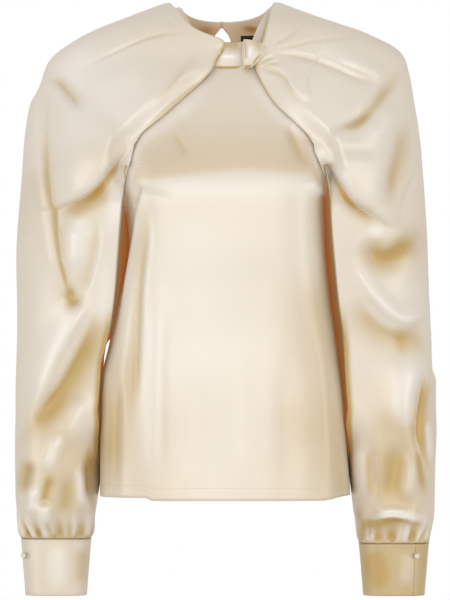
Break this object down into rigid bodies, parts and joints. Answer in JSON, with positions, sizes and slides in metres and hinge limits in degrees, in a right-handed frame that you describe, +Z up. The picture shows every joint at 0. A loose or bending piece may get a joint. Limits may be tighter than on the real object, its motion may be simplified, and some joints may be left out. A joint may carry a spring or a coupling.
{
  "type": "satin blouse",
  "caption": "Hollow long-sleeved satin blouse with shoulder drapes drawn to a knot at the neck, gathered sleeves, deep buttoned cuffs and a keyhole back.",
  "frame": {"origin": "midway between the shoulders that hold it up, 8 mm below the outer ends of the shoulder seams, at the mount 'shoulders'", "axes": "+Z up along the centre line, +X towards the wearer's left, and the front faces -Y"},
  "size_m": [0.5236, 0.2318, 0.7399],
  "materials": {
    "satin": "ivory satin with a soft bright gloss and a fine weave",
    "covered_button": "ivory satin stretched over a small ball",
    "thread": "twisted ivory thread",
    "label_tape": "plain dark brown woven tape, bare"
  },
  "bodies": {
    "root": {"front": "satin", "back": "satin", "sleeve_right": "satin", "sleeve_left": "satin", "neck_band": "satin", "knot": "satin", "cuff_right": "satin", "cuff_left": "satin", "button_cuff_right": "covered_button", "button_cuff_left": "covered_button", "button_neck": "covered_button", "loop_cuff_right": "thread", "loop_cuff_left": "thread", "loop_neck": "thread", "label": "label_tape"}
  },
  "joints": []
}
